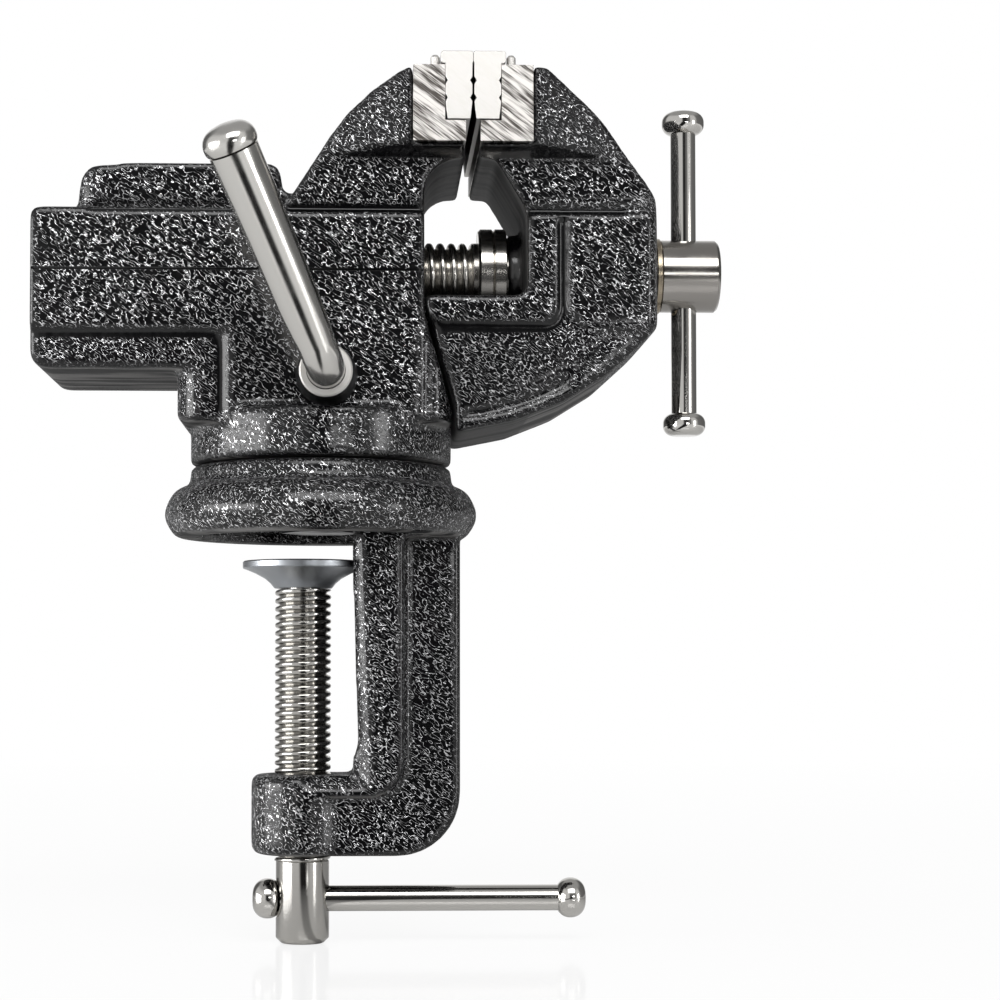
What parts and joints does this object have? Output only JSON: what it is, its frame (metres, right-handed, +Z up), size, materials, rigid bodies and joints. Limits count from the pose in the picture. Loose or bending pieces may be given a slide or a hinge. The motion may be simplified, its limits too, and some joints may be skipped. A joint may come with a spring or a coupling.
{
  "type": "clamp-on table vise",
  "caption": "Small cast-iron bench vise with an anvil, a swivelling body with a lever lock, and a screw clamp that holds it on a table edge.",
  "frame": {"origin": "on the swivel axis, in the plane where the base flange seats on the table top", "axes": "+Z up along the swivel axis, +X along the spindle towards its handle, -Y towards the side with the swivel lock lever"},
  "size_m": [0.1684, 0.1101, 0.2142],
  "materials": {
    "black_enamel": "glossy black wrinkle enamel over cast iron",
    "milled_steel": "milled, with coarse diagonal cutter marks",
    "bright_insert": "fine ground, near white",
    "turned_steel": "turned and polished",
    "polished_steel": "polished",
    "brushed_chrome": "satin chrome",
    "black_oxide_steel": "black oxide",
    "bronze": "plain machined bronze"
  },
  "bodies": {
    "base": {"clamp_frame": "black_enamel"},
    "swivel_body": {"vise_body": "black_enamel", "fixed_jaw_plate": "milled_steel", "fixed_jaw_insert": "bright_insert", "fixed_plate_screws": "black_oxide_steel", "fixed_insert_pins": "polished_steel", "spindle_nut": "bronze", "nut_grub_screw": "black_oxide_steel", "pivot_bolt": "black_oxide_steel", "pivot_washer": "turned_steel"},
    "sliding_jaw": {"movable_jaw": "black_enamel", "movable_jaw_plate": "milled_steel", "movable_jaw_insert": "bright_insert", "movable_plate_screws": "black_oxide_steel", "movable_insert_pins": "polished_steel"},
    "spindle": {"spindle": "turned_steel", "thrust_washer": "bronze", "retaining_collar": "turned_steel", "collar_washer": "turned_steel", "collar_pin": "black_oxide_steel"},
    "spindle_handle": {"spindle_bar": "polished_steel", "spindle_bar_knobs": "polished_steel"},
    "plug": {"lock_plug": "bronze"},
    "lock": {"lever_hub": "black_oxide_steel", "lever_collar": "polished_steel", "lock_lever": "brushed_chrome", "lever_cap": "brushed_chrome"},
    "pad": {"clamp_pad": "turned_steel", "pad_retainer": "black_oxide_steel"},
    "clamp_screw": {"clamp_screw": "turned_steel"},
    "clamp_handle": {"clamp_bar": "polished_steel", "clamp_bar_knobs": "polished_steel"}
  },
  "joints": [
    {"name": "swivel", "type": "hinge", "parent": "base", "child": "swivel_body", "pos_m": [0, 0, 0], "axis": [0, 0, 1], "continuous": true},
    {"name": "jaw_slide", "type": "slide", "parent": "swivel_body", "child": "sliding_jaw", "axis": [1, 0, 0], "range_m": [0, 0.05]},
    {"name": "spindle_turn", "type": "hinge", "parent": "sliding_jaw", "child": "spindle", "pos_m": [0.06, 0, 0.0661], "axis": [1, 0, 0], "range_deg": [0, 6546]},
    {"name": "spindle_bar_slide", "type": "slide", "parent": "spindle", "child": "spindle_handle", "axis": [0, 0, 1], "range_m": [-0.0262, 0.0252]},
    {"name": "plug_slide", "type": "slide", "parent": "swivel_body", "child": "plug", "axis": [0, 1, 0], "range_m": [-0.00032, 0.00016]},
    {"name": "lock_turn", "type": "hinge", "parent": "plug", "child": "lock", "pos_m": [0.0017, -0.03, 0.0376], "axis": [0, 1, 0], "range_deg": [-75, 35]},
    {"name": "pad_slide", "type": "slide", "parent": "base", "child": "pad", "axis": [0, 0, 1], "range_m": [-0.045, 0.001]},
    {"name": "clamp_turn", "type": "hinge", "parent": "pad", "child": "clamp_screw", "pos_m": [-0.0044, 0, -0.05], "axis": [0, 0, 1], "range_deg": [-8101, 181]},
    {"name": "clamp_bar_slide", "type": "slide", "parent": "clamp_screw", "child": "clamp_handle", "axis": [1, 0, 0], "range_m": [-0.0557, 0]}
  ],
  "couplings": [
    {"joint": "spindle_turn", "follows": "jaw_slide", "rad_per_m": 2284.8},
    {"joint": "plug_slide", "follows": "lock_turn", "m_per_rad": 0.00023873},
    {"joint": "clamp_turn", "follows": "pad_slide", "rad_per_m": 3141.6}
  ]
}
